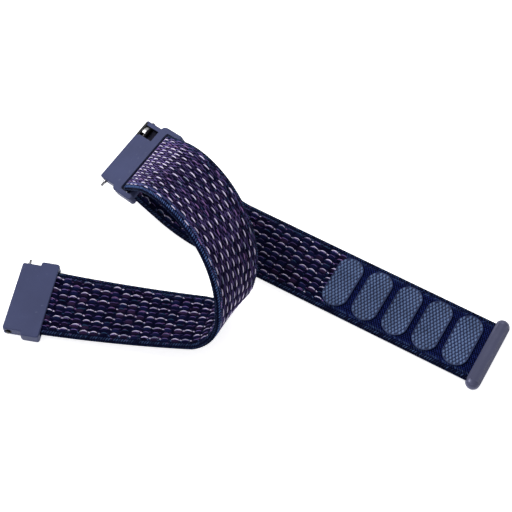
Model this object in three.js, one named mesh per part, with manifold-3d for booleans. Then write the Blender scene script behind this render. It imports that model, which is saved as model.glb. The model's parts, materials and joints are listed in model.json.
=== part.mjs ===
// Woven watch band for a fitness tracker: a hook-and-loop strap with two quick-release metal connectors.
// Connector A holds the strap's fixed end. The strap runs through the slot of connector B, folds round
// its cross bar and ends in a free tail with hook pads and a tip bar. Millimetres, +Z up, the tail along
// +X towards its tip, the strap's width along Y. The object lies on the plane Z = 0.
import * as THREE from "three";
import { mergeVertices } from "three/addons/utils/BufferGeometryUtils.js";
import Module from "manifold-3d";

const wasm = await Module();
wasm.setup();
const rad = THREE.MathUtils.degToRad;

// ---- Strap ----
const STRAP_W = 20.4;
const STRAP_T = 2.0;
const STRAP_EDGE_R = 0.8; // rounded woven edges
const TAIL_MID_Z = 1.4; // height of the flat tail's middle layer: the tip bar holds it off the table
const WRAP_R = 2.4; // the strap's middle layer round the cross bar
const FLEX_GAP = 0.8; // between two strap lengths that bend against each other
const STEP = 2.0; // length of one facet along the strap
const POCKET_IN = 4.2; // length of strap held inside connector A

// The strap's middle line from the tip bar to connector A, as a chain of helical arcs. Each arc bends the
// strap out of its plane, twists it about its length and sways it in its plane by the given degrees.
const TIP_X = 45.2;
const ARCS = [
  { name: "flat", length: 81.8, bend: 0, twist: 0, sway: 0 },
  { name: "lift", length: 17.1, bend: 30.6, twist: -15.9, sway: 5.7 },
  { name: "approach", length: 12.9, bend: 10.6, twist: -1.5, sway: 0 },
  { name: "wrap", length: WRAP_R * rad(89.1), bend: 89.1, twist: 0, sway: 0 },
  { name: "rise", length: 11.9, bend: 4.7, twist: -8.8, sway: 0 },
  { name: "crest", length: 51.4, bend: 118.0, twist: -50.1, sway: 0 },
  { name: "hairpin", length: 14.2, bend: 77.58, twist: -25.7, sway: 0 },
  { name: "short", length: 43.3, bend: 7.96, twist: -15.03, sway: 0 },
  { name: "held", length: POCKET_IN, bend: 0, twist: 0, sway: 0 },
];

// ---- Hook pads and tip bar ----
const PAD_COUNT = 5;
const PAD_PITCH = 9.36;
const PAD_L = 7.5; // along the strap
const PAD_W = 16.5; // across the strap
const PAD_T = 0.5;
const TIP_W = 4.2; // along the strap
const TIP_H = 3.2;
const TIP_L = 23.8; // across the strap, with its domed ends
const TIP_GRIP = 1.3; // how far the strap goes into the bar

// ---- Connectors ----
const CONN_T = 3.2; // thickness
const EAR_W = 24.0; // over the part that holds the strap
const LUG_W = 21.6; // over the part between the watch's lugs (22 mm fitting)
const EDGE_BEVEL = 0.3;
const A_LENGTH = 10.7; // strap-side edge to lug edge
const A_EAR_R = 0.5; // its ears' corners
const A_STEP = 5.4; // strap-side edge to the narrower lug part
const POCKET_H = 2.3; // connector A's socket for the strap
const POCKET_W = 20.9;
const B_LENGTH = 12.9; // cross bar to lug edge
const B_STEP = 6.8; // cross bar to the narrower lug part
const B_EAR_R = 1.6; // its ears' corners
const B_SLOT = 3.9; // cross bar to the far wall of the strap slot
const B_EAR = 1.5; // how far the ears reach past the cross bar
const B_SLOT_W = 21.0;
const CROSS_BAR_R = 1.1;
const B_PITCH = -17.4; // connector B's turn about its cross bar from level

// ---- Quick-release spring bars ----
const BAR_INSET = 1.6; // lug edge to the bar's middle line
const BORE_R = 1.0;
const BARREL_R = 0.9;
const BARREL_IN_R = 0.66;
const BARREL_HALF = 10.6;
const PIN_R = 0.6;
const TIP_PIN_R = 0.4;
const PIN_OUT = 2.0; // the fixed tip beyond the lug part
const PLUNGER_OUT = 0.5; // the sprung tip beyond the lug part
const LEVER_Y = 8.15; // the lever's distance from the bar's middle
const LEVER_W = 2.2;
const LEVER_TRAVEL = 0.8;
const A_WINDOW_L = 4.4; // lug edge to the inner side of connector A's window
const B_WINDOW_L = 6.3; // and of connector B's
const WINDOW_RAIL = 1.05; // the rail left along the lug edge
const WINDOW_Y = [5.9, 9.45]; // across the bar
const WINDOW_FLOOR = -0.5; // depth of the window, from the bar's middle line
const COIL_R = 0.45;
const COIL_WIRE_R = 0.13;
const COIL_TURNS = 12;

// ---- Solids ----
function solid(geometry) {
  const g = new THREE.BufferGeometry()
    .setAttribute("position", geometry.getAttribute("position"));
  if (geometry.index) g.setIndex(geometry.index);
  const merged = mergeVertices(g, 1e-4);
  return new wasm.Manifold(
    new wasm.Mesh({
      numProp: 3,
      vertProperties: merged.attributes.position.array,
      triVerts: new Uint32Array(merged.index.array),
    }),
  );
}

function geometryOf(body) {
  const m = body.getMesh();
  return new THREE.BufferGeometry()
    .setAttribute("position", new THREE.BufferAttribute(m.vertProperties, 3))
    .setIndex(new THREE.BufferAttribute(m.triVerts, 1));
}

function block([x0, x1], [y0, y1], [z0, z1]) {
  const g = new THREE.BoxGeometry(x1 - x0, y1 - y0, z1 - z0);
  return g.translate((x0 + x1) / 2, (y0 + y1) / 2, (z0 + z1) / 2);
}

// A solid of revolution about a line along Y through (x, 0, 0). The profile is [radius, y] from end to end.
function turned(profile, x, segments = 28) {
  const points = profile.map(([r, y]) => new THREE.Vector2(r, y));
  return new THREE.LatheGeometry(points, segments).translate(x, 0, 0);
}

function rod(r, y0, y1, x) {
  return turned([[0, y0], [r, y0], [r, y1], [0, y1]], x);
}

// A closed outline through corners [x, y, radius], each rounded by its radius.
function rounded(corners) {
  const shape = new THREE.Shape();
  corners.forEach(([x, y, r], i) => {
    const corner = new THREE.Vector2(x, y);
    const [px, py] = corners.at(i - 1);
    const [nx, ny] = corners[(i + 1) % corners.length];
    const from = new THREE.Vector2(px, py).sub(corner).setLength(r).add(corner);
    const to = new THREE.Vector2(nx, ny).sub(corner).setLength(r).add(corner);
    if (i === 0) shape.moveTo(from.x, from.y);
    else shape.lineTo(from.x, from.y);
    shape.quadraticCurveTo(x, y, to.x, to.y);
  });
  shape.closePath();
  return shape;
}

function roundedBox(halfX, halfY, r) {
  return rounded([
    [-halfX, -halfY, r],
    [halfX, -halfY, r],
    [halfX, halfY, r],
    [-halfX, halfY, r],
  ]);
}

// ---- The strap's path ----
class StrapPath extends THREE.Curve {
  constructor(start, along, across, arcs) {
    super();
    this.arcs = [];
    let s = 0;
    let frame = { point: start, along, across };
    for (const arc of arcs) {
      const facing = frame.along.clone().cross(frame.across);
      const turn = new THREE.Vector3()
        .addScaledVector(frame.across, rad(arc.bend))
        .addScaledVector(frame.along, rad(arc.twist))
        .addScaledVector(facing, rad(arc.sway));
      const angle = turn.length();
      const axis = angle > 0 ? turn.divideScalar(angle) : frame.across.clone();
      this.arcs.push({ ...arc, s, angle, axis, frame });
      s += arc.length;
      frame = this.frameAt(s);
    }
    this.total = s;
    this.from = 0;
    this.to = s;
  }

  // The middle line's point, direction and width direction at distance s along the strap.
  frameAt(s) {
    const arc = this.arcs.findLast((a) => a.s <= s) ?? this.arcs[0];
    const { point, along, across } = arc.frame;
    const ahead = s - arc.s;
    const angle = (arc.angle * ahead) / arc.length;
    const step = along.clone().multiplyScalar(ahead);
    if (angle > 1e-9) {
      const straight = arc.axis.clone().multiplyScalar(arc.axis.dot(along));
      const swing = along.clone().sub(straight);
      const side = arc.axis.clone().cross(along);
      step
        .copy(straight.multiplyScalar(ahead))
        .addScaledVector(swing, (ahead * Math.sin(angle)) / angle)
        .addScaledVector(side, (ahead * (1 - Math.cos(angle))) / angle);
    }
    return {
      point: point.clone().add(step),
      along: along.clone().applyAxisAngle(arc.axis, angle),
      across: across.clone().applyAxisAngle(arc.axis, angle),
    };
  }

  startOf(name) {
    return this.arcs.find((a) => a.name === name).s;
  }

  // The same path, limited to one length of it.
  span(from, to) {
    const part = Object.create(this);
    part.from = from;
    part.to = to;
    return part;
  }

  getPoint(u) {
    return this.frameAt(THREE.MathUtils.lerp(this.from, this.to, u)).point;
  }

  getPointAt(u) {
    return this.getPoint(u);
  }

  // Keeps the section's first direction along the strap's width.
  computeFrenetFrames(segments) {
    const frames = { tangents: [], normals: [], binormals: [] };
    for (let i = 0; i <= segments; i++) {
      const s = THREE.MathUtils.lerp(this.from, this.to, i / segments);
      const { along, across } = this.frameAt(s);
      frames.tangents.push(along);
      frames.normals.push(across);
      frames.binormals.push(along.clone().cross(across));
    }
    return frames;
  }
}

const path = new StrapPath(
  new THREE.Vector3(TIP_X, 0, TAIL_MID_Z),
  new THREE.Vector3(-1, 0, 0),
  new THREE.Vector3(0, 1, 0),
  ARCS,
);

// Where the strap's lengths meet: each flexes, or folds, against the next.
const TAIL_FLEX = 58; // between the padded end and the rest of the tail
const FOLD = path.startOf("wrap") + ARCS[3].length / 2; // on the cross bar
const CREST_FLEX = path.startOf("crest") + 26;
const HAIRPIN_FLEX = path.startOf("hairpin") + 5;

function strapLength(from, to, step = STEP) {
  return new THREE.ExtrudeGeometry(roundedBox(STRAP_W / 2, STRAP_T / 2, STRAP_EDGE_R), {
    steps: Math.ceil((to - from) / step),
    curveSegments: 4,
    extrudePath: path.span(from, to),
  });
}

// ---- Naming and placing ----
const root = new THREE.Group();
root.name = "tracker_band";

const COLOURS = {
  strap: { color: 0x1b1d38, roughness: 0.95, metalness: 0 },
  pad: { color: 0x566a92, roughness: 0.9, metalness: 0 },
  metal: { color: 0x50586f, roughness: 0.45, metalness: 0.4 },
  tip: { color: 0x555269, roughness: 0.5, metalness: 0.3 },
  steel: { color: 0xb8bcc4, roughness: 0.25, metalness: 1 },
};

// An empty frame at a place where the strap bends: X along the strap, Y along its width.
function mark(name, s) {
  const { point, along, across } = path.frameAt(s);
  const frame = new THREE.Group();
  frame.name = name;
  frame.matrix.makeBasis(along, across, along.clone().cross(across)).setPosition(point);
  frame.matrix.decompose(frame.position, frame.quaternion, frame.scale);
  root.add(frame);
}

function add(parent, name, geometry, look) {
  const mesh = new THREE.Mesh(geometry, new THREE.MeshStandardMaterial(COLOURS[look]));
  mesh.name = name;
  parent.add(mesh);
}

// An empty frame whose X axis points to the watch, Y along the spring bar and Z to the skin side.
function place(name, point, toWatch, skinSide) {
  const frame = new THREE.Group();
  frame.name = name;
  const alongBar = skinSide.clone().cross(toWatch);
  frame.matrix.makeBasis(toWatch, alongBar, skinSide).setPosition(point);
  frame.matrix.decompose(frame.position, frame.quaternion, frame.scale);
  root.add(frame);
  return frame;
}

// ---- Connector parts, in the connector's own frame ----
// The plate's outline: wide where it holds the strap, narrower between the watch's lugs.
function plate(back, step, front, earRadius) {
  const ear = EAR_W / 2 - EDGE_BEVEL;
  const lug = LUG_W / 2 - EDGE_BEVEL;
  const inner = EDGE_BEVEL;
  const side = (sign) => [
    [back + inner, sign * ear, 0.6],
    [step - inner, sign * ear, earRadius],
    [step - inner, sign * lug, 0.1],
    [front - inner, sign * lug, 0.3],
  ];
  const outline = rounded([...side(-1), ...side(1).reverse()]);
  const g = new THREE.ExtrudeGeometry(outline, {
    depth: CONN_T - 2 * EDGE_BEVEL,
    curveSegments: 5,
    bevelEnabled: true,
    bevelThickness: EDGE_BEVEL,
    bevelSize: EDGE_BEVEL,
    bevelSegments: 2,
  });
  return solid(g.translate(0, 0, EDGE_BEVEL - CONN_T / 2));
}

// The spring bar's bore and, at the lever's end, the window open to the lug edge and the skin side.
function lugCuts(body, front, windowL) {
  const [near, far] = WINDOW_Y;
  const bore = solid(rod(BORE_R, -LUG_W, LUG_W, front - BAR_INSET));
  const window = solid(block([front - windowL, front - WINDOW_RAIL], [-far, -near], [WINDOW_FLOOR, CONN_T]));
  return body.subtract(bore).subtract(window);
}

function connectorA() {
  const pocket = new THREE.ExtrudeGeometry(roundedBox(POCKET_W / 2, POCKET_H / 2, STRAP_EDGE_R), {
    depth: POCKET_IN + 1.4,
    bevelEnabled: false,
    curveSegments: 4,
  });
  pocket.applyMatrix4(new THREE.Matrix4().makeBasis(
    new THREE.Vector3(0, 1, 0),
    new THREE.Vector3(0, 0, 1),
    new THREE.Vector3(1, 0, 0),
  )).translate(-1, 0, 0);
  const body = lugCuts(plate(0, A_STEP, A_LENGTH, A_EAR_R), A_LENGTH, A_WINDOW_L);
  return geometryOf(body.subtract(solid(pocket)));
}

function connectorB() {
  const opening = rounded([
    [-B_EAR - 2, -B_SLOT_W / 2, 0.2],
    [B_SLOT, -B_SLOT_W / 2, 0.9],
    [B_SLOT, B_SLOT_W / 2, 0.9],
    [-B_EAR - 2, B_SLOT_W / 2, 0.2],
  ]);
  const through = new THREE.ExtrudeGeometry(opening, { depth: 6, bevelEnabled: false, curveSegments: 5 });
  const body = plate(-B_EAR, B_STEP, B_LENGTH, B_EAR_R).subtract(solid(through.translate(0, 0, -3)));
  const bar = solid(rod(CROSS_BAR_R, -B_SLOT_W / 2 - 0.7, B_SLOT_W / 2 + 0.7, 0));
  return geometryOf(lugCuts(body.add(bar), B_LENGTH, B_WINDOW_L));
}

class Helix extends THREE.Curve {
  getPoint(u) {
    const a = 2 * Math.PI * COIL_TURNS * u;
    return new THREE.Vector3(COIL_R * Math.cos(a), (12.2 - COIL_WIRE_R) * u, COIL_R * Math.sin(a));
  }
}

// The lever: a stem through the barrel's slot and a curved finger tab above it.
function lever(x) {
  const stem = block([x - 0.3, x + 0.3], [-LEVER_Y - LEVER_W / 2, -LEVER_Y + LEVER_W / 2], [0.63, 1.1]);
  const tab = new THREE.Shape();
  tab.moveTo(-LEVER_W / 2, 0.96);
  tab.lineTo(LEVER_W / 2, 0.96);
  tab.quadraticCurveTo(LEVER_W / 2, 1.25, LEVER_W / 2 + 0.1, 1.42);
  tab.quadraticCurveTo(0.2, 1.6, -0.3, 1.4);
  tab.quadraticCurveTo(-LEVER_W / 2, 1.2, -LEVER_W / 2, 0.96);
  const finger = new THREE.ExtrudeGeometry(tab, { depth: 1.2, bevelEnabled: false, curveSegments: 6 });
  finger.translate(0, 0, -0.8).applyMatrix4(new THREE.Matrix4().makeBasis(
    new THREE.Vector3(0, 1, 0),
    new THREE.Vector3(0, 0, 1),
    new THREE.Vector3(1, 0, 0),
  )).translate(x, -LEVER_Y, 0);
  return geometryOf(solid(stem).add(solid(finger)));
}

function addSpringBar(frame, suffix, front) {
  const x = front - BAR_INSET;
  const h = BARREL_HALF;
  const tube = turned([[0, -h], [BARREL_R, -h], [BARREL_R, h], [0, h]], x);
  const bore = rod(BARREL_IN_R, -h - 1, h + 1, x);
  const slotEnds = [-LEVER_Y - LEVER_W / 2 - 0.2, -LEVER_Y + LEVER_W / 2 + LEVER_TRAVEL + 0.2];
  const slot = block([x - 0.4, x + 0.4], slotEnds, [0, 2]);
  add(frame, "bar_barrel_" + suffix,
    geometryOf(solid(tube).subtract(solid(bore)).subtract(solid(slot))), "steel");

  const tip = LUG_W / 2 + PIN_OUT;
  add(frame, "bar_fixed_pin_" + suffix, turned([
    [0, 9.0], [PIN_R, 9.0], [PIN_R, 11.5], [TIP_PIN_R, 11.7], [TIP_PIN_R, tip - 0.15], [0.25, tip], [0, tip],
  ], x, 20), "steel");

  const out = LUG_W / 2 + PLUNGER_OUT;
  add(frame, "bar_plunger_" + suffix, turned([
    [0, -out], [PIN_R - 0.15, -out], [PIN_R, -out + 0.15], [PIN_R, -5], [0, -5],
  ], x, 20), "steel");

  add(frame, "release_lever_" + suffix, lever(x), "steel");

  const wire = new THREE.Shape().absarc(0, 0, COIL_WIRE_R, 0, 2 * Math.PI);
  add(frame, "bar_coil_" + suffix, new THREE.ExtrudeGeometry(wire, {
    steps: COIL_TURNS * 10,
    curveSegments: 3,
    extrudePath: new Helix(),
  }).translate(x, -3.3, 0), "steel");
}

// ---- The strap and what is on it ----
const fixedEnd = path.startOf("held");
add(root, "strap_tail_end", strapLength(TIP_W / 2 - TIP_GRIP, TAIL_FLEX - FLEX_GAP / 2, 6), "strap");
add(root, "strap_tail_root", strapLength(TAIL_FLEX + FLEX_GAP / 2, FOLD - FLEX_GAP / 2, 1), "strap");
add(root, "strap_front", strapLength(FOLD + FLEX_GAP / 2, CREST_FLEX - FLEX_GAP / 2, 1), "strap");
add(root, "strap_turn", strapLength(CREST_FLEX + FLEX_GAP / 2, HAIRPIN_FLEX - FLEX_GAP / 2), "strap");
add(root, "strap_short", strapLength(HAIRPIN_FLEX + FLEX_GAP / 2, path.total), "strap");

mark("tail_flex", TAIL_FLEX);
mark("crest_flex", CREST_FLEX);
mark("hairpin_flex", HAIRPIN_FLEX);

for (let i = 0; i < PAD_COUNT; i++) {
  const r = PAD_L / 2;
  const y = PAD_W / 2 - r;
  const stadium = new THREE.Shape().absarc(0, -y, r, Math.PI, 0).absarc(0, y, r, 0, Math.PI);
  const pad = new THREE.ExtrudeGeometry(stadium, { depth: PAD_T, bevelEnabled: false, curveSegments: 14 });
  add(root, "hook_pad_" + (i + 1),
    pad.translate(i * PAD_PITCH, 0, TAIL_MID_Z + STRAP_T / 2 + 0.02), "pad");
}

// The tip bar is clamped round the strap's end: an oval bar with domed ends, flat facets above and a
// shallow mouth. The facets are drawn along the strap and upwards.
const TIP_FACETS = [[-2.05, -0.3], [-2.0, 0.9], [-1.45, 1.55], [1.0, 1.6], [2.1, 0.7], [2.1, -0.4]];
function tipBar() {
  const dome = TIP_W / 2;
  const y = TIP_L / 2 - dome;
  const profile = [[0, -TIP_L / 2]];
  for (let i = 1; i <= 8; i++) {
    const a = (Math.PI / 2) * (i / 8);
    profile.push([dome * Math.sin(a), -y - dome * Math.cos(a)]);
  }
  const mirrored = profile.map(([r, v]) => [r, -v]).reverse();
  const bar = turned([...profile, ...mirrored], 0).scale(1, 1, TIP_H / TIP_W);
  const facets = new THREE.ExtrudeGeometry(
    new THREE.Shape(TIP_FACETS.map(([u, v]) => new THREE.Vector2(u, v))),
    { depth: 2 * y, bevelEnabled: false },
  );
  facets.applyMatrix4(new THREE.Matrix4().makeBasis(
    new THREE.Vector3(1, 0, 0),
    new THREE.Vector3(0, 0, 1),
    new THREE.Vector3(0, -1, 0),
  )).translate(0, y, 0);
  const mouth = block([-TIP_W, -TIP_W / 2 + TIP_GRIP + 0.2], [-STRAP_W / 2 - 0.2, STRAP_W / 2 + 0.2],
    [-STRAP_T / 2 - 0.1 + TAIL_MID_Z - TIP_H / 2, STRAP_T / 2 + 0.1 + TAIL_MID_Z - TIP_H / 2]);
  const whole = solid(bar.rotateY(rad(7))).add(solid(facets.rotateY(rad(7))));
  return geometryOf(whole.subtract(solid(mouth))).translate(TIP_X, 0, TIP_H / 2);
}
add(root, "tip_bar", tipBar(), "tip");

// ---- Connector A at the fixed end, outer side up ----
const end = path.frameAt(fixedEnd);
const outerSide = end.along.clone().cross(end.across).negate();
const frameA = place("frame_a", end.point, end.along, outerSide.clone().negate());
add(frameA, "connector_a", connectorA(), "metal");
addSpringBar(frameA, "a", A_LENGTH);

// ---- Connector B on the fold, skin side up ----
const fold = path.frameAt(FOLD);
const barPoint = fold.point.clone().addScaledVector(fold.along.clone().cross(fold.across), -WRAP_R);
const level = new THREE.Vector3(-1, 0, 0).projectOnPlane(fold.across).normalize();
const toWatch = level.applyAxisAngle(fold.across, rad(B_PITCH));
const frameB = place("frame_b", barPoint, toWatch, fold.across.clone().cross(toWatch));
add(frameB, "connector_b", connectorB(), "metal");
addSpringBar(frameB, "b", B_LENGTH);

// The origin is under the middle of the object's box, on the table.
root.updateMatrixWorld(true);
const bounds = new THREE.Box3().setFromObject(root, true);
const middle = bounds.getCenter(new THREE.Vector3());
root.position.set(-middle.x, -middle.y, -bounds.min.z);

export default root;
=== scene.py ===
"""A woven hook-and-loop watch band with quick-release metal connectors, dressed round its CAD frame.

Lengths are in millimetres until a mesh is made, and the strap is measured by s, the distance along its
middle line from the tip bar, and y, the distance across it.
"""

import json
import math
import random

import bmesh
import bpy
import numpy as np
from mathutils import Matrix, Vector


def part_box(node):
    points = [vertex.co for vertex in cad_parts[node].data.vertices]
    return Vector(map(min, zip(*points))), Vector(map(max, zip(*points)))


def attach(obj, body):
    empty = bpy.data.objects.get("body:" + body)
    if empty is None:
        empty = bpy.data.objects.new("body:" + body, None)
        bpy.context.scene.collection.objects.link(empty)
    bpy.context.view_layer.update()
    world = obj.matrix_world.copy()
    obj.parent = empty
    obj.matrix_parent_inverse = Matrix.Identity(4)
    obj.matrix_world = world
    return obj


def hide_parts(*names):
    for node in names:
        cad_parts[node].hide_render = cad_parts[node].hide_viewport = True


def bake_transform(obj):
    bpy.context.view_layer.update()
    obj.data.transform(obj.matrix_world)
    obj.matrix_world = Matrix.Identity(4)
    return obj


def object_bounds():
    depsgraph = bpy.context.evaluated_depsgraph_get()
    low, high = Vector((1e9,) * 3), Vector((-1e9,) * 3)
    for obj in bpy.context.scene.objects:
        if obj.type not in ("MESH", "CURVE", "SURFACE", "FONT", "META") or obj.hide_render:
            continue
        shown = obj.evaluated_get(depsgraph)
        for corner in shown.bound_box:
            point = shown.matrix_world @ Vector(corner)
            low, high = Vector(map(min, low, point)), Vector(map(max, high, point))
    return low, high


MM = 0.001
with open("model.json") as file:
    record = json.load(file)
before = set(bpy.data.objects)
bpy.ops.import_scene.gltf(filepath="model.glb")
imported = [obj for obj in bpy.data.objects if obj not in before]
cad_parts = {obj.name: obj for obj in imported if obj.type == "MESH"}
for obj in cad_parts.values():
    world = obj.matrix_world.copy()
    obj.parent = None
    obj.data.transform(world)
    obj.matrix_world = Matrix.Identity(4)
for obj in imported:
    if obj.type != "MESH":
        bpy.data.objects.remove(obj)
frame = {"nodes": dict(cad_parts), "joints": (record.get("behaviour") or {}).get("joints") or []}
cad_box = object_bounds()
joints = {joint["name"]: joint for joint in frame["joints"]}
rng = random.Random(11)


def box_mm(node):
    """Lowest and highest corner of a CAD node, in millimetres."""
    low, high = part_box(node)
    return np.array(low) / MM, np.array(high) / MM


# ---------------------------------------------------------------- the strap's path
STRAP_W = 20.4
WRAP_R = 2.4  # the middle line's radius round the cross bar
WRAP_BEND = 89.1
PAD_1_S = 45.2  # from the path's start to the middle of the first hook pad

# Each arc: length, then the degrees it bends, twists and sways over that length.
ARCS = {
    "flat": (81.8, 0, 0, 0),
    "lift": (17.1, 30.6, -15.9, 5.7),
    "approach": (12.9, 10.6, -1.5, 0),
    "wrap": (WRAP_R * math.radians(WRAP_BEND), WRAP_BEND, 0, 0),
    "rise": (11.9, 4.7, -8.8, 0),
    "crest": (51.4, 118.0, -50.1, 0),
    "hairpin": (14.2, 77.58, -25.7, 0),
    "short": (43.3, 7.96, -15.03, 0),
    "held": (4.2, 0, 0, 0),
}


def turned(v, axis, angle):
    """Rows of v turned about the unit axis by each angle."""
    c, s = np.cos(angle)[:, None], np.sin(angle)[:, None]
    return v * c + np.cross(axis, v) * s + axis * (v @ axis) * (1 - c)


class StrapPath:
    """Helical arcs end to end, each with a constant rate of bend, twist and sway."""

    def __init__(self, start):
        self.arcs = []
        self.start_of = {}
        at, along, across = np.array(start, float), np.array([-1.0, 0, 0]), np.array([0, 1.0, 0])
        s = 0.0
        for name, (length, bend, twist, sway) in ARCS.items():
            facing = np.cross(along, across)
            spin = (
                math.radians(bend) * across
                + math.radians(twist) * along
                + math.radians(sway) * facing
            )
            angle = np.linalg.norm(spin)
            axis = spin / angle if angle else along
            self.start_of[name] = s
            self.arcs.append((s, length, at, along, across, axis, angle))
            s += length
            at, along, across = (rows[0] for rows in self.frames(np.array([s])))
        self.length = s

    def frames(self, s):
        """Points, along and across directions of the middle line at each distance s."""
        points, alongs, acrosses = (np.zeros((len(s), 3)) for _ in range(3))
        for i, (s0, length, at, along, across, axis, angle) in enumerate(self.arcs):
            here = s >= s0 if i else np.ones(len(s), bool)
            part = s[here] - s0
            if angle == 0:
                points[here] = at + along * part[:, None]
                alongs[here], acrosses[here] = along, across
                continue
            rate = angle / length
            turn = rate * part
            straight = axis * (axis @ along)
            swing = along - straight
            points[here] = (
                at
                + straight * part[:, None]
                + swing * (np.sin(turn) / rate)[:, None]
                + np.cross(axis, along) * ((1 - np.cos(turn)) / rate)[:, None]
            )
            alongs[here] = turned(along[None], axis, turn)
            acrosses[here] = turned(across[None], axis, turn)
        return points, alongs, acrosses

    def place(self, s, y, h):
        """Points at s along, y across and h towards the skin side, in metres."""
        s, y, h = (np.asarray(v, float).ravel() for v in (s, y, h))
        points, alongs, acrosses = self.frames(s)
        return (points + acrosses * y[:, None] + np.cross(alongs, acrosses) * h[:, None]) * MM


pad_low, pad_high = box_mm("hook_pad_1")
end_low, end_high = box_mm("strap_tail_end")
pad_mid = (pad_low + pad_high) / 2
path = StrapPath((pad_mid[0] + PAD_1_S, pad_mid[1], (end_low[2] + end_high[2]) / 2))


# ---------------------------------------------------------------- materials
def linear(r, g, b):
    """A display colour from 0 to 255 as linear RGB."""
    return tuple((c / 255 / 12.92) if c < 11 else ((c / 255 + 0.055) / 1.055) ** 2.4 for c in (r, g, b))


class Shader:
    """A material with one Principled BSDF, and short ways to add nodes to it."""

    def __init__(self, name, **sockets):
        self.material = bpy.data.materials.new(name)
        self.material.use_nodes = True
        self.tree = self.material.node_tree
        self.bsdf = self.tree.nodes["Principled BSDF"]
        for socket, value in sockets.items():
            self.bsdf.inputs[socket.replace("_", " ")].default_value = value

    def node(self, kind, links=(), **settings):
        made = self.tree.nodes.new(kind)
        for key, value in settings.items():
            if hasattr(made, key):
                setattr(made, key, value)
            else:
                made.inputs[key.replace("_", " ")].default_value = value
        for target, source in dict(links).items():
            self.tree.links.new(source, made.inputs[target])
        return made

    def link(self, source, target):
        self.tree.links.new(source, self.bsdf.inputs[target])

    def ramp(self, source, stops):
        made = self.node("ShaderNodeValToRGB", {"Fac": source})
        elements = made.color_ramp.elements
        while len(elements) < len(stops):
            elements.new(0.5)
        for element, (position, colour) in zip(elements, stops):
            element.position = position
            element.color = (*colour, 1)
        return made.outputs["Color"]

    def spread(self, source, low, high):
        """A 0 to 1 value mapped to low to high."""
        made = self.node("ShaderNodeMapRange", {"Value": source}, To_Min=low, To_Max=high)
        return made.outputs["Result"]

    def bump(self, height, distance, strength):
        made = self.node("ShaderNodeBump", {"Height": height}, Distance=distance, Strength=strength)
        self.link(made.outputs["Normal"], "Normal")


def noise(shader, coords, scale, detail=3.0):
    return shader.node("ShaderNodeTexNoise", {"Vector": coords}, Scale=scale, Detail=detail).outputs["Fac"]


def weave_material():
    """Dark ground of the strap: a fine twill in the surface's own millimetres, unevenly dyed."""
    m = Shader("strap_ground", Roughness=0.85, Specular_IOR_Level=0.02)
    uv = m.node("ShaderNodeTexCoord").outputs["UV"]
    ribs = m.node(
        "ShaderNodeTexWave", {"Vector": uv}, wave_type="BANDS", bands_direction="DIAGONAL",
        Scale=1.1, Distortion=0.6, Detail=1.0,
    ).outputs["Fac"]
    picks = m.node(
        "ShaderNodeTexWave", {"Vector": uv}, wave_type="BANDS", bands_direction="X",
        Scale=0.9, Distortion=0.4, Detail=1.0,
    ).outputs["Fac"]
    mixed = m.node("ShaderNodeMath", {0: ribs, 1: picks}, operation="MULTIPLY").outputs["Value"]
    patches = noise(m, uv, 0.35)
    ground = m.ramp(patches, [(0.3, linear(2, 2, 16)), (0.7, linear(5, 7, 30))])
    raised = m.ramp(patches, [(0.3, linear(8, 8, 34)), (0.7, linear(14, 20, 58))])
    mix = m.node("ShaderNodeMix", data_type="RGBA")
    m.tree.links.new(mixed, mix.inputs["Factor"])
    m.tree.links.new(ground, mix.inputs[6])
    m.tree.links.new(raised, mix.inputs[7])
    m.link(mix.outputs[2], "Base Color")
    m.link(m.spread(mixed, 0.9, 0.7), "Roughness")
    m.bump(mixed, 0.00012, 0.8)
    return m.material


def yarn_material(name, roughness, sheen, specular):
    """Yarn lying on the strap. Each float carries its own colour with painted shade at its sides and ends, and
    fibres run along it.
    """
    m = Shader(name, Roughness=roughness, Sheen_Weight=sheen, Specular_IOR_Level=specular)
    coords = m.node("ShaderNodeTexCoord")
    tint = m.node("ShaderNodeAttribute", attribute_name="Tint").outputs["Color"]
    fibres = m.node(
        "ShaderNodeTexWave", {"Vector": coords.outputs["UV"]}, wave_type="BANDS", bands_direction="Y",
        Scale=2.2, Distortion=1.5, Detail=2.0,
    ).outputs["Fac"]
    flecks = noise(m, coords.outputs["Object"], 900)
    shade = m.node("ShaderNodeMath", {0: fibres, 1: flecks}, operation="ADD").outputs["Value"]
    level = m.spread(shade, 0.62, 1.18)
    scaled = m.node("ShaderNodeVectorMath", {0: tint}, operation="SCALE")
    m.tree.links.new(level, scaled.inputs["Scale"])
    m.link(scaled.outputs["Vector"], "Base Color")
    m.link(m.spread(flecks, roughness - 0.1, roughness + 0.12), "Roughness")
    m.bump(fibres, 0.00004, 0.6)
    return m.material


def metal_material(name, base, light, roughness, metallic, specular, grain=1500.0):
    """Bead-blasted, dyed metal: fine grain, faint clouding, and a few small paler scuffs."""
    m = Shader(name, Metallic=metallic, Roughness=roughness, Specular_IOR_Level=specular)
    coords = m.node("ShaderNodeTexCoord").outputs["Object"]
    clouds = noise(m, coords, 90)
    speckle = noise(m, coords, grain, 2.0)
    scuffs = m.node(
        "ShaderNodeMapRange", {"Value": noise(m, coords, 700)}, From_Min=0.66, From_Max=0.74, To_Max=0.35
    ).outputs["Result"]
    cloudy = m.ramp(clouds, [(0.3, tuple(c * 0.9 for c in base)), (0.7, tuple(c * 1.08 for c in base))])
    mix = m.node("ShaderNodeMix", data_type="RGBA")
    m.tree.links.new(scuffs, mix.inputs["Factor"])
    m.tree.links.new(cloudy, mix.inputs[6])
    mix.inputs[7].default_value = (*light, 1)
    m.link(mix.outputs[2], "Base Color")
    m.link(m.spread(speckle, roughness - 0.08, roughness + 0.1), "Roughness")
    m.bump(speckle, 0.000015, 0.5)
    return m.material


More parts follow.
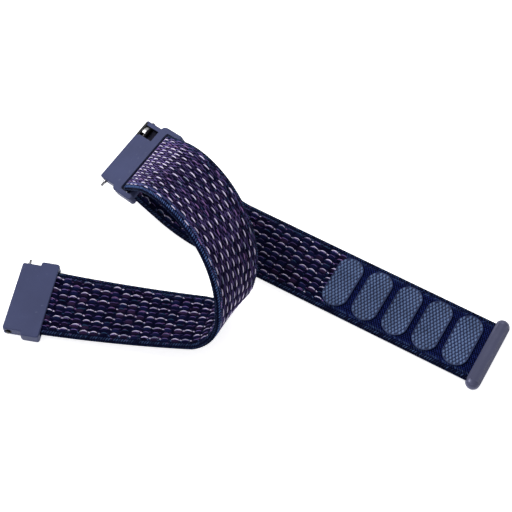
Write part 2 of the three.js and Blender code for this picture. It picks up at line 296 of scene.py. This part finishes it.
def steel_material(name, base, roughness, turns=2600.0):
    """Turned steel with fine lines round it and small stains."""
    m = Shader(name, Metallic=1.0, Roughness=roughness)
    coords = m.node("ShaderNodeTexCoord").outputs["Object"]
    lines = noise(m, coords, turns, 1.0)
    stains = noise(m, coords, 260)
    m.link(
        m.ramp(stains, [(0.35, tuple(c * 0.75 for c in base)), (0.65, tuple(min(1, c * 1.1) for c in base))]),
        "Base Color",
    )
    m.link(m.spread(stains, roughness - 0.06, roughness + 0.14), "Roughness")
    m.bump(lines, 0.000006, 0.4)
    return m.material


def pad_material(name, low, high):
    """Moulded resin for one part of a pad; the web's copy is darker than the hooks' as painted shade, and the
    rim's lies between them.
    """
    m = Shader(name, Roughness=0.5, Specular_IOR_Level=0.3)
    coords = m.node("ShaderNodeTexCoord").outputs["Object"]
    flow = noise(m, coords, 160)
    grit = noise(m, coords, 2400, 2.0)
    m.link(m.ramp(flow, [(0.35, low), (0.65, high)]), "Base Color")
    m.link(m.spread(grit, 0.4, 0.62), "Roughness")
    m.bump(grit, 0.00002, 0.5)
    return m.material


GROUND = weave_material()
FLOAT_YARN = yarn_material("float_yarn", 0.4, 0.0, 0.4)
GROUND_YARN = yarn_material("ground_yarn", 0.66, 0.0, 0.03)
SLATE = metal_material("slate_metal", linear(55, 61, 96), linear(84, 92, 122), 0.5, 0.15, 0.22)
TIP_METAL = metal_material("tip_metal", linear(78, 80, 106), linear(96, 98, 124), 0.34, 0.2, 0.3, 3000.0)
# painted shade: the window's floor and walls are painted dark where they lie in shade
PAINTED_RECESS_SHADE = metal_material("recess_painted_shade", linear(18, 18, 34), linear(40, 36, 56), 0.6, 0.1, 0.1)
# painted shade: the slate rail along the lug edge is painted near black where it lies in shade
PAINTED_RAIL_SHADE = metal_material("rail_painted_shade", linear(8, 9, 14), linear(60, 62, 70), 0.4, 0.2, 0.3)
STEEL = steel_material("bright_steel", (0.93, 0.93, 0.95), 0.3)
DARK_STEEL = steel_material("dark_steel", (0.05, 0.05, 0.056), 0.32)
PIN_STEEL = steel_material("pin_steel", (0.34, 0.34, 0.36), 0.24)
# painted shade: the web between the hooks is a darker copy of the hooks' resin
PAD_WEB_PAINTED_SHADE = pad_material("pad_web_painted_shade", linear(24, 32, 66), linear(36, 46, 86))
PAD_HOOK = pad_material("pad_hook", linear(74, 94, 134), linear(93, 114, 156))
PAD_RIM = pad_material("pad_rim", linear(44, 56, 92), linear(60, 72, 110))


# ---------------------------------------------------------------- mesh helpers
def new_object(name, points, faces, material, smooth=True):
    mesh = bpy.data.meshes.new(name)
    mesh.from_pydata([tuple(p) for p in points], [], [tuple(f) for f in faces])
    mesh.materials.append(material)
    mesh.polygons.foreach_set("use_smooth", [smooth] * len(mesh.polygons))
    mesh.update()
    made = bpy.data.objects.new(name, mesh)
    bpy.context.collection.objects.link(made)
    return made


def set_uv(obj, uv):
    """uv holds one (u, v) for each vertex."""
    layer = obj.data.uv_layers.new(name="UVMap")
    loops = np.zeros(len(obj.data.loops), int)
    obj.data.loops.foreach_get("vertex_index", loops)
    layer.data.foreach_set("uv", np.asarray(uv, np.float32)[loops].ravel())


# the colour given here holds each float's own colour times its painted shade
def set_tint_with_painted_shade(obj, colours):
    layer = obj.data.attributes.new("Tint", "FLOAT_COLOR", "POINT")
    rgba = np.ones((len(colours), 4), np.float32)
    rgba[:, :3] = colours
    layer.data.foreach_set("color", rgba.ravel())


def grid_faces(rows, columns, closed=False):
    """Quads of a grid of points held row by row. closed joins the last column to the first."""
    faces = []
    for r in range(rows - 1):
        for c in range(columns if closed else columns - 1):
            d = (c + 1) % columns
            faces.append((r * columns + c, r * columns + d, (r + 1) * columns + d, (r + 1) * columns + c))
    return faces


# ---------------------------------------------------------------- strap pieces
GROUND_T = 1.66  # the woven ground between the yarns that stand on its two faces
GROUND_W = STRAP_W - 0.3
GROUND_STATION = 0.8  # along the strap, between rings of the ground
RIPPLE = 0.035
RIPPLE_HALF_W = 9
STRAP_CUTS = {"strap_tail": (0.8, 86.0), "strap_fold": (86.0, 133.0), "strap_crest": (133.0, 168.0),
              "strap_turn_over": (168.0, None)}
# Where each flex joint bends the strap, and how far the bend spreads before and after it.
TAIL_FLEX, TAIL_SPREAD = 58.0, 6.5
CREST_FLEX, CREST_SPREAD = 153.43, 9.0
HAIRPIN_FLEX, HAIRPIN_SPREAD = 183.83, 6.0
BAR_SPREAD = 1.3
BAR_CLEAR = 2.0  # from the wrapped length to the points that give the fold's direction


def on_path(s, y=0.0, h=0.0):
    return path.place([s], [y], [h])[0]


def line_along(s, reach):
    """Two points reach before and after s on the line that the strap runs along there."""
    point, along, _ = (rows[0] for rows in path.frames(np.array([s])))
    return (point - along * reach) * MM, (point + along * reach) * MM


def line_over_bar():
    """Two points either side of the cross bar, from the tail's layer to the front layer."""
    wrap = path.start_of["wrap"]
    tail_side, front_side = on_path(wrap - BAR_CLEAR), on_path(path.start_of["rise"] + BAR_CLEAR)
    across = path.frames(np.array([wrap]))[2][0]
    step = front_side - tail_side
    step = step - across * (step @ across)
    middle = (tail_side + front_side) / 2
    step = step / np.linalg.norm(step) * BAR_SPREAD * MM
    return middle - step, middle + step


BLENDS = {
    "strap_tail": ("tail_end", "tail", line_along(TAIL_FLEX, TAIL_SPREAD)),
    "strap_fold": ("tail", "front", line_over_bar()),
    "strap_crest": ("front", "turn", line_along(CREST_FLEX, CREST_SPREAD)),
    "strap_turn_over": ("turn", "fixed_end", line_along(HAIRPIN_FLEX, HAIRPIN_SPREAD)),
}
STAND_FOR = {
    "strap_tail": ("strap_tail_end",),
    "strap_fold": ("strap_tail_root",),
    "strap_crest": ("strap_front",),
    "strap_turn_over": ("strap_turn", "strap_short"),
}


def bend_with(obj):
    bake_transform(obj)


def ground_section():
    """The ground's cross-section as (y, h) points, going round it once."""
    half_w, half_t = GROUND_W / 2, GROUND_T / 2
    flat = np.linspace(-(half_w - half_t), half_w - half_t, 35)
    turn = np.linspace(-math.pi / 2, math.pi / 2, 9)[1:-1]
    right = [(half_w - half_t + half_t * math.cos(a), half_t * math.sin(a)) for a in turn]
    left = [(-y, -h) for y, h in right]
    return (
        [(y, -half_t) for y in flat] + right + [(-y, half_t) for y in flat] + left
    )


def strap_ground(piece):
    start, end = STRAP_CUTS[piece]
    end = path.length if end is None else end
    section = np.array(ground_section())
    stations = np.linspace(start, end, int((end - start) / GROUND_STATION) + 1)
    s = np.repeat(stations, len(section))
    y, h = np.tile(section, (len(stations), 1)).T
    # the rows of weave stand a little above the furrows between them
    ripple = RIPPLE * np.cos(2 * math.pi * y / ROW_STEP) * np.sign(h) * (np.abs(y) < RIPPLE_HALF_W)
    obj = new_object(piece, path.place(s, y, h + ripple), grid_faces(len(stations), len(section), True), GROUND)
    around = np.concatenate([[0], np.cumsum(np.linalg.norm(np.diff(section, axis=0), axis=1))])
    set_uv(obj, np.column_stack([s, np.tile(around, len(stations))]))
    bend_with(obj)
    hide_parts(*STAND_FOR[piece])


# A float is a strand that lies on the surface between the two places where it dives into it.
FLOAT_STATIONS = 7
FLOAT_ARCH = 5
SHAPE_FIELDS = 9  # the values that a float's row holds before its colour
FIBRE_SPAN = 1.5  # fibre pattern across half a float
SHADE = 0.36  # painted shade: how dark a strand is painted where it dives in


def float_template():
    """(along, across, height) of one float, each from -1 or 0 to 1, and its faces."""
    points = []
    for u in np.linspace(-1, 1, FLOAT_STATIONS):
        swell = max(0.0, math.cos(u * math.pi / 2 * 0.97)) ** 0.55
        for a in np.linspace(0, math.pi, FLOAT_ARCH):
            points.append((u, -math.cos(a) * (0.35 + 0.65 * swell), math.sin(a) * swell - 0.3 * (1 - swell)))
    return np.array(points), grid_faces(FLOAT_STATIONS, FLOAT_ARCH)


TEMPLATE, TEMPLATE_FACES = float_template()


def piece_at(s):
    for piece, (start, end) in STRAP_CUTS.items():
        if start <= s < (path.length if end is None else end):
            return piece
    return None


class Floats:
    """Collects floats, then lays them on the strap's pieces as one mesh each."""

    def __init__(self, name, material):
        self.name, self.material = name, material
        self.rows = {piece: [] for piece in STRAP_CUTS}

    def add(self, s, y, side, length, width, height, colour, slant=0.0, bow=0.0, base=GROUND_T / 2 - 0.06):
        piece = piece_at(s)
        if piece:
            self.rows[piece].append((s, y, side, length / 2, width / 2, height, slant, bow, base, *colour))

    def lay(self):
        count = len(TEMPLATE)
        for piece, rows in self.rows.items():
            if not rows:
                continue
            data = np.array(rows)
            s0, y0, side, reach, half, height, slant, bow, base = (
                np.repeat(data[:, i], count) for i in range(SHAPE_FIELDS)
            )
            u, v, w = np.tile(TEMPLATE, (len(rows), 1)).T
            along, across = u * reach, v * half
            s = s0 + along * np.cos(slant) - across * np.sin(slant)
            y = y0 + along * np.sin(slant) + across * np.cos(slant) + bow * (0.5 - u * u)
            h = side * (base + w * height)
            y, h = over_edge(y, h)
            points = path.place(np.clip(s, 0.6, path.length), y, h)
            faces = np.array(TEMPLATE_FACES)
            all_faces = (faces[None] + (np.arange(len(rows)) * count)[:, None, None]).reshape(-1, 4)
            flip = np.repeat(data[:, 2] > 0, len(faces))
            all_faces[flip] = all_faces[flip][:, ::-1]
            obj = new_object(f"{self.name}_{piece[6:]}", points, all_faces.tolist(), self.material)
            set_uv(obj, np.column_stack([s, v * FIBRE_SPAN]))
            # painted shade: the sides and the ends, where the strand dives in, are painted darker than its top
            painted_lighting = SHADE + (1 - SHADE) * np.clip(w, 0, 1)
            set_tint_with_painted_shade(obj, np.repeat(data[:, SHAPE_FIELDS:], count, axis=0) * painted_lighting[:, None])
            bend_with(obj)


def over_edge(y, h):
    """Wraps points that lie past the flat of a face round the strap's rounded edge."""
    bend_r = GROUND_T / 2
    flat = GROUND_W / 2 - bend_r
    past = np.abs(y) - flat
    radius = np.abs(h)
    angle = np.clip(past / bend_r, 0, math.pi / 2)
    wrapped = past > 0
    new_y = np.where(wrapped, np.sign(y) * (flat + np.sin(angle) * radius), y)
    new_h = np.where(wrapped, np.sign(h) * np.cos(angle) * radius, h)
    return new_y, new_h


COLUMN_STEP = 2.922  # along the strap, from one place where yarns come up to the next
ROW_STEP = 1.75  # across it, on the outer side
SKIN_ROW_STEP = 2.27 / 2
OUTER_COLUMN_S = 69.5  # a column where every other row shows one float
OUTER_FIRST_ROW_Y = 8.0
SKIN_COLUMN_S = 158.1
SKIN_ROW_Y = 1.5
WEAVE_FROM = 48.9  # the patterned weave begins past the last hook pad towards the tail
WEAVE_HALF_W = STRAP_W / 2 - 0.9  # the pattern stops here, at the selvedges
# The skin side's columns are drawn out over the cross bar: each row is (up to s, step).
STRETCHED = ((136, 4.2), (144, 3.5))
STRETCH_BEFORE_WRAP = 6
LIFT_REACH = 22  # how far past the cross bar the skin side stays brighter
YARN_STEP = 1.46


def tone(light, dark, amount, jitter=0.12):
    """A colour between dark and light, a little different each time."""
    amount = min(1.0, max(0.0, amount + rng.uniform(-jitter, jitter)))
    return tuple(d + (l - d) * amount for l, d in zip(light, dark))


LILAC = linear(232, 220, 255)
MAUVE = linear(144, 122, 202)
PLUM = linear(138, 98, 162)
VIOLET_GREY = linear(76, 64, 124)
NIGHT = linear(4, 3, 28)
TEAL = linear(56, 84, 122)
NAVY = linear(26, 36, 86)
PLAIN_NAVY = linear(28, 42, 106)
BLUE_EDGE = linear(88, 116, 170)


def bright_colour():
    pick = rng.random()
    if pick < 0.12:
        return tone(PLUM, VIOLET_GREY, 0.8)
    if pick < 0.2:
        return tone(TEAL, LILAC, 0.7)
    return tone(LILAC, VIOLET_GREY, 0.86, 0.3)


def dim_colour():
    pick = rng.random()
    if pick < 0.15:
        return tone(PLUM, NIGHT, 0.35)
    if pick < 0.3:
        return tone(TEAL, NIGHT, 0.5)
    return tone(VIOLET_GREY, NIGHT, 0.16, 0.24)


def mid_colour():
    return tone(MAUVE, NIGHT, 0.5, 0.3) if rng.random() < 0.8 else tone(TEAL, NIGHT, 0.8)


def puff_colour():
    return tone(NAVY, NIGHT, 0.2, 0.22) if rng.random() < 0.75 else tone(PLUM, NIGHT, 0.04, 0.06)


def near(value, spread):
    return value + rng.uniform(-spread, spread)


def skin_columns():
    """Where the skin side's columns of floats lie, and how far apart. They are drawn out over the cross bar."""
    columns = [(SKIN_COLUMN_S, COLUMN_STEP)]
    while columns[-1][0] < path.length - 1:
        columns.append((columns[-1][0] + COLUMN_STEP, COLUMN_STEP))
    while columns[0][0] > 1:
        s = columns[0][0]
        over_bar = path.start_of["wrap"] - STRETCH_BEFORE_WRAP < s
        step = next((wide for limit, wide in STRETCHED if s < limit and over_bar), COLUMN_STEP)
        columns.insert(0, (s - step, step))
    return columns


def weave_floats():
    bright = Floats("floats", FLOAT_YARN)
    dim = Floats("strands", GROUND_YARN)
    half = WEAVE_HALF_W
    # Outer side: one column of floats in the even rows, then two columns in the odd rows.
    repeat = 3 * COLUMN_STEP
    first_column = WEAVE_FROM + (OUTER_COLUMN_S - WEAVE_FROM) % repeat - repeat
    columns = int((path.length - WEAVE_FROM) / COLUMN_STEP) + 2
    for column in range(columns):
        s = first_column + column * COLUMN_STEP
        single = column % 3 == 0
        for row in range(-1, 11):
            y = OUTER_FIRST_ROW_Y - row * ROW_STEP
            lifted = (row % 2 == 0) == single
            if s < WEAVE_FROM or s > path.length - 1 or abs(y) > half:
                continue
            puff = near(1.0, 0.12)
            dim.add(near(s, 0.12), y - 0.62, -1, 2.75, 1.3 * puff, 0.27 * puff, puff_colour(), near(0, 0.05), 0.3)
            if lifted:
                bright.add(near(s, 0.1), near(y, 0.06), -1, near(2.5, 0.2), near(0.34, 0.04), 0.3,
                           bright_colour(), near(-0.03, 0.05), near(0.42, 0.12))
                bright.add(s - 1.62, y - 0.2, -1, 0.8, 0.36, 0.24, bright_colour(), near(0.2, 0.3))
                dim.add(near(s, 0.15), y - 0.36, -1, 2.3, 0.2, 0.36, mid_colour(), near(0, 0.05), 0.4)
            else:
                dim.add(near(s, 0.15), near(y, 0.06), -1, near(2.4, 0.2), 0.24, 0.26, mid_colour(),
                        near(-0.02, 0.06), near(0.36, 0.12))
    # Skin side: bright floats like bricks, a duller one in each space, and two thin strands beside each.
    for column, (s, step) in enumerate(skin_columns()):
        even = column % 2 == 0
        lift = 0.4 * max(0.0, 1 - abs(s - path.start_of["rise"]) / LIFT_REACH)
        for row in range(-9, 10):
            y = SKIN_ROW_Y + row * SKIN_ROW_STEP
            if abs(y) > half or s < 1.5:
                continue
            if (row % 2 == 0) == even or lift > rng.uniform(0.1, 0.4):
                bright.add(near(s, 0.1), near(y, 0.06), 1, near(0.86 * step, 0.2), near(0.38, 0.04), 0.27,
                           bright_colour(), near(0.0, 0.05), near(0.1, 0.1))
            else:
                dim.add(near(s, 0.15), near(y, 0.08), 1, near(0.8 * step, 0.3), 0.34, 0.2,
                        tone(MAUVE, NIGHT, 0.2 + lift, 0.2), near(0.0, 0.1))
            for offset, ahead in ((0.36, 0.5), (0.74, -0.28)):
                dim.add(near(s + ahead * step, 0.25), near(y + offset, 0.05), 1, near(0.85 * step, 0.3),
                        0.24, 0.22, tone(MAUVE, NIGHT, 0.2 + 1.4 * lift, 0.24), near(0.0, 0.1))
    # The ground's own yarns, between the floats.
    for side, pitch, offset in ((-1, ROW_STEP / 2, 0.12), (1, SKIN_ROW_STEP / 2, 0.2)):
        for row in range(int(2 * half / pitch) + 1):
            y = -half + row * pitch + offset
            for step in range(int(path.length / YARN_STEP)):
                s = 1.4 + (step + 0.5 * (row % 2)) * YARN_STEP
                if side < 0 and s < WEAVE_FROM + 0.6 or s > path.length - 1:
                    continue
                dim.add(near(s, 0.12), near(y, 0.07), side, near(1.5, 0.25), near(0.34, 0.04), near(0.1, 0.03),
                        dim_colour(), near(0.0, 0.16))
    bright.lay()
    dim.lay()


RIB_PITCH = 0.74
PAINTED_LIGHT_TO_S = 185  # painted light: the near skin-side edge is painted paler from the cross bar to here


def selvedge_ribs():
    """The woven edges: short ribs over each rim, and a herringbone beside it on both faces."""
    ribs = Floats("selvedge", GROUND_YARN)
    pitch = RIB_PITCH
    for edge in (-1, 1):
        for step in range(int((path.length - 2) / pitch)):
            s = 1.2 + step * pitch
            for side in (-1, 1):
                for lane, (inset, slant) in enumerate(((0.25, 0.95), (1.25, -0.75))):
                    # painted light: this stretch of the near edge's skin face is coloured paler where light falls
                    # on it
                    painted_lighting = edge < 0 and side > 0 and path.start_of["wrap"] < s < PAINTED_LIGHT_TO_S
                    colour = tone(BLUE_EDGE, NAVY, 0.55, 0.3) if painted_lighting else tone(BLUE_EDGE, NIGHT, 0.2, 0.18)
                    ribs.add(s + lane * pitch / 2, edge * (STRAP_W / 2 - 0.55 - inset), side,
                             1.35, 0.42, 0.15, colour, edge * slant)
            ribs.add(s, edge * (STRAP_W / 2 + 0.55), 1, 1.3, 0.46, 0.2,
                     tone(BLUE_EDGE, NIGHT, 0.14, 0.12), edge * 1.2)
            ribs.add(s + pitch / 2, edge * (STRAP_W / 2 + 0.45), -1, 1.3, 0.46, 0.2,
                     tone(BLUE_EDGE, NIGHT, 0.14, 0.12), edge * 1.2)
    ribs.lay()


TWILL_ROWS = 36
TWILL_ROW_STEP = 0.5
TWILL_FIRST_Y = -8.75
TWILL_PITCH = 0.78


def plain_twill():
    """Fine ribs of the plain cloth round the hook pads."""
    twill = Floats("twill", GROUND_YARN)
    for row in range(TWILL_ROWS):
        y = TWILL_FIRST_Y + row * TWILL_ROW_STEP
        for step in range(int((WEAVE_FROM - 1) / TWILL_PITCH)):
            s = 1.2 + (step + 0.5 * (row % 2)) * TWILL_PITCH
            twill.add(s, near(y, 0.03), -1, 0.82, 0.42, 0.12, tone(PLAIN_NAVY, NIGHT, 0.75, 0.25), 0.7)
    twill.lay()


for piece in STRAP_CUTS:
    strap_ground(piece)
weave_floats()
selvedge_ribs()
plain_twill()


# ---------------------------------------------------------------- hook pads
PADS = 5
HOOK_PITCH_X = 1.04
HOOK_PITCH_Y = 0.945
RIM_W = 0.2
RIM_BANDS = 5  # of the slab's bands of faces, those that make its wall and rim
WEB_DEPTH = 0.3
HOOK_LEAN = math.radians(8)
HOOK_RUN = 0.98
HOOK_SIZE = 0.27
HOOK_STATIONS = 7
HOOK_AROUND = 6


def stadium(half_x, half_y, inset, count=96):
    """A rounded outline with semicircular ends, drawn in by inset."""
    radius = half_x - inset
    straight = half_y - half_x
    points = []
    for i in range(count):
        a = 2 * math.pi * i / count
        points.append((radius * math.cos(a), radius * math.sin(a) + (straight if math.sin(a) >= 0 else -straight)))
    return points


def hook_pad(number):
    node = f"hook_pad_{number}"
    low, high = box_mm(node)
    middle = (low + high) / 2
    half_x, half_y = (high - low)[:2] / 2
    top = high[2]
    web = top - WEB_DEPTH
    # the slab: a low wall up to a rounded rim, then down to the web between the hooks
    profile = [(0, low[2]), (0, top - 0.14), (0.03, top - 0.05), (0.08, top - 0.02), (0.14, top - 0.05),
               (RIM_W, web + 0.05), (RIM_W + 0.1, web)]
    rings = [
        [(middle[0] + x, middle[1] + y, z) for x, y in stadium(half_x, half_y, inset)]
        for inset, z in profile
    ]
    count = len(rings[0])
    points = [p for ring in rings for p in ring]
    faces = grid_faces(len(rings), count, True)
    floor = list(range((len(rings) - 1) * count, len(rings) * count))
    slab = new_object(node + "_slab", np.array(points) * MM, faces + [floor], PAD_WEB_PAINTED_SHADE)
    slab.data.materials.append(PAD_RIM)
    for polygon in slab.data.polygons:
        polygon.material_index = 0 if polygon.index >= RIM_BANDS * count else 1
    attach(slab, "tail_end")
    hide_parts(node)
    # the hooks: short arched ribs in staggered rows
    hook_points, hook_faces = [], []
    columns = int((half_x - RIM_W) / HOOK_PITCH_X) + 1
    rows = int((half_y - RIM_W) / HOOK_PITCH_Y) + 1
    for i in range(-columns, columns + 1):
        for j in range(-rows, rows + 1):
            x = (i + 0.5 * (j % 2)) * HOOK_PITCH_X
            y = j * HOOK_PITCH_Y
            reach = max(0.0, abs(y) - (half_y - half_x))
            if math.hypot(x, reach) > half_x - RIM_W - 0.12:
                continue
            add_hook(hook_points, hook_faces, middle[0] + near(x, 0.03), middle[1] + near(y, 0.03), web, top)
    hooks = new_object(node + "_hooks", np.array(hook_points) * MM, hook_faces, PAD_HOOK)
    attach(hooks, "tail_end")


def add_hook(points, faces, x, y, web, top):
    """One hook: an arched rib, thick in the middle and bent down at its head."""
    start = len(points)
    rise = top - web
    for k in range(HOOK_STATIONS):
        u = k / (HOOK_STATIONS - 1)
        run = (u - 0.5) * HOOK_RUN
        centre = web - 0.05 + rise * 0.78 * math.sin(math.pi * min(1.0, 0.12 + u * 0.8)) ** 0.7
        size = HOOK_SIZE * math.sin(math.pi * (0.12 + 0.76 * u)) ** 0.6
        for m in range(HOOK_AROUND):
            a = 2 * math.pi * m / HOOK_AROUND
            side = size * 1.25 * math.cos(a)
            up = size * 0.6 * math.sin(a)
            points.append((
                x + side * math.cos(HOOK_LEAN) - run * math.sin(HOOK_LEAN),
                y + side * math.sin(HOOK_LEAN) + run * math.cos(HOOK_LEAN),
                min(top, centre + up),
            ))
    faces.extend(tuple(start + i for i in f)[::-1] for f in grid_faces(HOOK_STATIONS, HOOK_AROUND, True))
    faces.append(tuple(start + i for i in range(HOOK_AROUND)))
    last = start + (HOOK_STATIONS - 1) * HOOK_AROUND
    faces.append(tuple(last + i for i in reversed(range(HOOK_AROUND))))


for number in range(1, PADS + 1):
    hook_pad(number)


# ---------------------------------------------------------------- metal pieces
WELD = 2e-6
SAME_FACE = math.radians(1.5)
BEVELLED_SHARP = 5  # degrees, where an edge already has a bevel


def finished(node, body, material, bevel=0.05, smooth_angle=32.0):
    """A finished copy of a CAD piece: its faces joined, its edges softly rounded and shaded smooth."""
    source = frame["nodes"][node]
    made = bmesh.new()
    made.from_mesh(source.data)
    bmesh.ops.remove_doubles(made, verts=made.verts, dist=WELD)
    bmesh.ops.dissolve_limit(made, angle_limit=SAME_FACE, verts=made.verts, edges=made.edges)
    if bevel:
        sharp = [e for e in made.edges if e.is_manifold and e.calc_face_angle() > math.radians(smooth_angle)]
        bmesh.ops.bevel(made, geom=sharp, offset=bevel * MM, segments=2, affect="EDGES", profile=0.5,
                        clamp_overlap=True)
    mesh = bpy.data.meshes.new(node + "_finished")
    made.to_mesh(mesh)
    made.free()
    obj = bpy.data.objects.new(node + "_finished", mesh)
    bpy.context.collection.objects.link(obj)
    obj.matrix_world = source.matrix_world.copy()
    mesh.materials.clear()
    mesh.materials.append(material)
    mesh.polygons.foreach_set("material_index", [0] * len(mesh.polygons))
    mesh.polygons.foreach_set("use_smooth", [True] * len(mesh.polygons))
    mesh.set_sharp_from_angle(angle=math.radians(BEVELLED_SHARP if bevel else smooth_angle))
    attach(obj, body)
    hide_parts(node)
    return obj


FLAT_AREA = 0.4 * MM * MM
SAME_PLANE = math.cos(math.radians(3))


def even_out(obj):
    """Shades each flat side as one plane, however its faces are divided."""
    mesh = obj.data
    corners = np.zeros(len(mesh.loops) * 3)
    mesh.corner_normals.foreach_get("vector", corners)
    corners = corners.reshape(-1, 3)
    normals = np.array([p.normal for p in mesh.polygons])
    areas = np.array([p.area if p.area > FLAT_AREA else 0 for p in mesh.polygons])
    for polygon in mesh.polygons:
        if polygon.area > FLAT_AREA:
            weights = np.where(normals @ np.array(polygon.normal) > SAME_PLANE, areas, 0)
            plane = weights @ normals
            corners[polygon.loop_start:polygon.loop_start + polygon.loop_total] = plane / np.linalg.norm(plane)
    mesh.normals_split_custom_set(corners.tolist())


def lug_axes(end, inward):
    """The spring bar's middle, and the directions to the watch, along the bar and to the skin side."""
    joint = joints[f"spring_bar_spin_{end}"]
    middle = np.array(joint["pos_m"]) / MM
    bar = np.array(joint["axis"])
    to_watch = middle - inward
    to_watch = to_watch - bar * (to_watch @ bar)
    to_watch = to_watch / np.linalg.norm(to_watch)
    return middle, to_watch, bar, np.cross(to_watch, bar)


def paint_inside(obj, axes, low, high, material, cut=False):
    """Gives the faces whose middles lie between low and high, in a connector's own axes, another material, here
    painted shade.
    """
    middle, *directions = axes
    if cut:
        made = bmesh.new()
        made.from_mesh(obj.data)
        for axis in (0, 1):
            for edge in (low[axis], high[axis]):
                at = Vector((middle + directions[axis] * edge) * MM)
                parts = made.verts[:] + made.edges[:] + made.faces[:]
                bmesh.ops.bisect_plane(made, geom=parts, dist=1e-7, plane_co=at, plane_no=Vector(directions[axis]))
        made.to_mesh(obj.data)
        made.free()
    obj.data.materials.append(material)
    for polygon in obj.data.polygons:
        from_bar = np.array(polygon.center) / MM - middle
        at = [from_bar @ direction for direction in directions]
        if all(a <= b <= c for a, b, c in zip(low, at, high)):
            polygon.material_index = len(obj.data.materials) - 1


# Lowest and highest corners in a connector's own axes, from the spring bar's middle, of the rail and the window,
# both painted dark as painted shade.
RAIL = ((0.5, -10.25, -0.4), (1.7, -5.5, 1.7))
WINDOW_LOW_YZ, WINDOW_HIGH = (-9.48, -1.2), (0.54, -5.88, 1.56)
WINDOW_DEPTH = {"a": 2.85, "b": 4.75}  # from the spring bar's middle to the window's inner side


def connector(end, body, inward):
    obj = finished(f"connector_{end}", body, SLATE)
    axes = lug_axes(end, inward)
    # painted shade on the rail along the lug edge
    paint_inside(obj, axes, *RAIL, PAINTED_RAIL_SHADE, cut=True)
    # painted shade inside the window
    paint_inside(obj, axes, (-WINDOW_DEPTH[end], *WINDOW_LOW_YZ), WINDOW_HIGH, PAINTED_RECESS_SHADE)
    even_out(obj)


connector("a", "fixed_end", sum(box_mm("connector_a")) / 2)
connector("b", "connector_b", np.array(joints["connector_b_swivel"]["pos_m"]) / MM)
finished("tip_bar", "tail_end", TIP_METAL, bevel=0.0, smooth_angle=24)
BAR_PIECES = (
    ("bar_barrel", "spring_bar", DARK_STEEL),
    ("bar_fixed_pin", "spring_bar", PIN_STEEL),
    ("bar_coil", "spring_bar", STEEL),
    ("bar_plunger", "release", DARK_STEEL),
    ("release_lever", "release", STEEL),
)
for end in ("a", "b"):
    for piece, body, metal in BAR_PIECES:
        finished(f"{piece}_{end}", f"{body}_{end}", metal, bevel=0.0)


# ---------------------------------------------------------------- floor, light and camera
FLOOR_REACH = 3.0
FLOOR_DROP = 0.0001


def floor_object():
    reach = FLOOR_REACH
    flat = new_object("floor", [(-reach, -reach, 0), (reach, -reach, 0), (reach, reach, 0), (-reach, reach, 0)],
                      [(0, 1, 2, 3)], floor_material(), smooth=False)
    flat.location.z = cad_box[0][2] - FLOOR_DROP


def floor_material():
    m = Shader("floor_white", Base_Color=(0.9, 0.9, 0.9, 1), Roughness=0.9, Specular_IOR_Level=0.1,
               Emission_Color=(1, 1, 1, 1), Emission_Strength=0.75)
    return m.material


def soft_light(name, place, target, size, power):
    data = bpy.data.lights.new(name, "AREA")
    data.shape = "SQUARE"
    data.size = size
    data.energy = power
    lamp = bpy.data.objects.new(name, data)
    bpy.context.collection.objects.link(lamp)
    lamp.location = place
    lamp.rotation_euler = (Vector(target) - Vector(place)).to_track_quat("-Z", "Y").to_euler()


CAMERA_AZIMUTH = 29.8
CAMERA_ELEVATION = 58.9
CAMERA_DISTANCE = 382.35
CAMERA_LENS = 92.8


def camera_at(target):
    azimuth, elevation = math.radians(CAMERA_AZIMUTH), math.radians(CAMERA_ELEVATION)
    back = Vector((math.sin(azimuth) * math.cos(elevation), -math.cos(azimuth) * math.cos(elevation),
                   math.sin(elevation)))
    data = bpy.data.cameras.new("camera")
    data.lens = CAMERA_LENS
    data.sensor_width = 36
    data.clip_start = 0.01
    data.clip_end = 20
    lens = bpy.data.objects.new("camera", data)
    bpy.context.collection.objects.link(lens)
    lens.location = target + back * CAMERA_DISTANCE * MM
    lens.rotation_euler = back.to_track_quat("Z", "Y").to_euler()
    bpy.context.scene.camera = lens


VIEW_FROM_PAD = (-26.5, -3.38)  # the point looked at on the table, from the middle of the first pad
target = Vector(((pad_mid[0] + VIEW_FROM_PAD[0]) * MM, (pad_mid[1] + VIEW_FROM_PAD[1]) * MM, 0))
camera_at(target)
floor_object()
soft_light("key", (-0.6, -0.05, 0.8), target, 0.4, 7.0)
soft_light("fill", (0.0, -0.6, 0.8), target, 0.7, 0.7)
soft_light("rim", (-0.1, 0.75, 0.6), target, 0.5, 1.6)
world = bpy.data.worlds.new("studio")
bpy.context.scene.world = world
world.use_nodes = True
world.node_tree.nodes["Background"].inputs["Color"].default_value = (1, 1, 1, 1)
world.node_tree.nodes["Background"].inputs["Strength"].default_value = 0.4
bpy.context.scene.view_settings.view_transform = "Standard"
